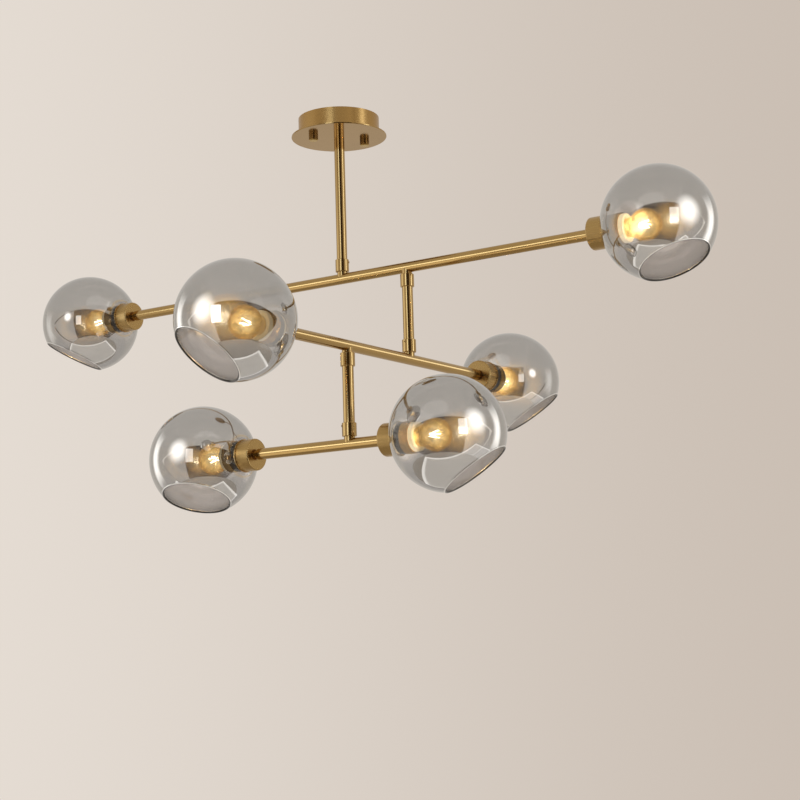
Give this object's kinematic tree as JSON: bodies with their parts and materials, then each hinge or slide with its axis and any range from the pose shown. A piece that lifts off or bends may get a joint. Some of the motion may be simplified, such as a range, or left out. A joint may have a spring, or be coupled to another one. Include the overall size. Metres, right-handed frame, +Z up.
{
  "type": "branch chandelier",
  "caption": "Branch chandelier: a round canopy and stem carry level brass arms stacked on short rods, each turning on a swivel and ending in smoked glass globes with a cut mouth.",
  "frame": {"origin": "centre of the canopy on the ceiling, at the top face of the ceiling bracket", "axes": "+Z up; +X along the upper arm towards its right-hand globe; +Y along the middle arm towards its back globe"},
  "size_m": [1.206, 0.8475, 0.6059],
  "materials": {
    "brass": "satin",
    "brass_polished": "polished",
    "steel": "zinc plated",
    "smoked_glass": "smoked, with a mirror-like outside",
    "bulb_glass": "clear amber",
    "holder_white": "glazed",
    "gasket_black": "gloss",
    "cable_sheath": "matte",
    "block_white": "matte"
  },
  "bodies": {
    "canopy_and_stem": {"ceiling_bracket": "steel", "bracket_studs": "steel", "stud_nuts": "steel", "earth_screw": "steel", "terminal_block": "block_white", "canopy_drum": "brass", "canopy_plate": "brass_polished", "thumb_nuts": "brass", "stem_nipple": "brass", "nipple_nut": "brass", "stem_cable": "cable_sheath", "stem_tube": "brass_polished", "stem_collar": "brass", "stem_collar_screw": "brass"},
    "arm_1": {"arm_1_tube": "brass_polished", "arm_1_spigots": "brass", "arm_1_cable": "cable_sheath", "arm_1_gaskets": "gasket_black", "arm_1_shade_rings": "brass_polished", "rod_1_tube": "brass_polished", "rod_1_collars": "brass", "rod_1_collar_screws": "brass", "arm_1_left_cup": "brass", "arm_1_left_lamp_holder": "holder_white", "arm_1_left_bulb": "bulb_glass", "arm_1_right_cup": "brass", "arm_1_right_lamp_holder": "holder_white", "arm_1_right_bulb": "bulb_glass"},
    "arm_2": {"arm_2_tube": "brass_polished", "arm_2_spigots": "brass", "arm_2_cable": "cable_sheath", "arm_2_gaskets": "gasket_black", "arm_2_shade_rings": "brass_polished", "rod_2_tube": "brass_polished", "rod_2_collars": "brass", "rod_2_collar_screws": "brass", "arm_2_front_cup": "brass", "arm_2_front_lamp_holder": "holder_white", "arm_2_front_bulb": "bulb_glass", "arm_2_back_cup": "brass", "arm_2_back_lamp_holder": "holder_white", "arm_2_back_bulb": "bulb_glass"},
    "arm_3": {"arm_3_tube": "brass_polished", "arm_3_spigot": "brass", "arm_3_cable": "cable_sheath", "arm_3_gaskets": "gasket_black", "arm_3_shade_rings": "brass_polished", "arm_3_left_cup": "brass", "arm_3_left_lamp_holder": "holder_white", "arm_3_left_bulb": "bulb_glass", "arm_3_right_cup": "brass", "arm_3_right_lamp_holder": "holder_white", "arm_3_right_bulb": "bulb_glass"},
    "arm_1_left_globe": {"arm_1_left_globe": "smoked_glass"},
    "arm_1_right_globe": {"arm_1_right_globe": "smoked_glass"},
    "arm_2_front_globe": {"arm_2_front_globe": "smoked_glass"},
    "arm_2_back_globe": {"arm_2_back_globe": "smoked_glass"},
    "arm_3_left_globe": {"arm_3_left_globe": "smoked_glass"},
    "arm_3_right_globe": {"arm_3_right_globe": "smoked_glass"}
  },
  "joints": [
    {"name": "arm_1_swivel", "type": "hinge", "parent": "canopy_and_stem", "child": "arm_1", "pos_m": [0, 0, -0.231], "axis": [0, 0, 1], "range_deg": [-170, 170]},
    {"name": "arm_2_swivel", "type": "hinge", "parent": "arm_1", "child": "arm_2", "pos_m": [0.117, 0, -0.369], "axis": [0, 0, 1], "range_deg": [-170, 70]},
    {"name": "arm_3_swivel", "type": "hinge", "parent": "arm_2", "child": "arm_3", "pos_m": [0.117, -0.156, -0.507], "axis": [0, 0, 1], "range_deg": [-170, 65]},
    {"name": "arm_1_left_globe_turn", "type": "hinge", "parent": "arm_1", "child": "arm_1_left_globe", "pos_m": [-0.524, 0, -0.251], "axis": [-1, 0, 0], "continuous": true},
    {"name": "arm_1_right_globe_turn", "type": "hinge", "parent": "arm_1", "child": "arm_1_right_globe", "pos_m": [0.524, 0, -0.251], "axis": [1, 0, 0], "continuous": true},
    {"name": "arm_2_front_globe_turn", "type": "hinge", "parent": "arm_2", "child": "arm_2_front_globe", "pos_m": [0.117, -0.3985, -0.389], "axis": [0, -1, 0], "continuous": true},
    {"name": "arm_2_back_globe_turn", "type": "hinge", "parent": "arm_2", "child": "arm_2_back_globe", "pos_m": [0.117, 0.291, -0.389], "axis": [0, 1, 0], "continuous": true},
    {"name": "arm_3_left_globe_turn", "type": "hinge", "parent": "arm_3", "child": "arm_3_left_globe", "pos_m": [-0.1455, -0.156, -0.527], "axis": [-1, 0, 0], "continuous": true},
    {"name": "arm_3_right_globe_turn", "type": "hinge", "parent": "arm_3", "child": "arm_3_right_globe", "pos_m": [0.2765, -0.156, -0.527], "axis": [1, 0, 0], "continuous": true}
  ]
}
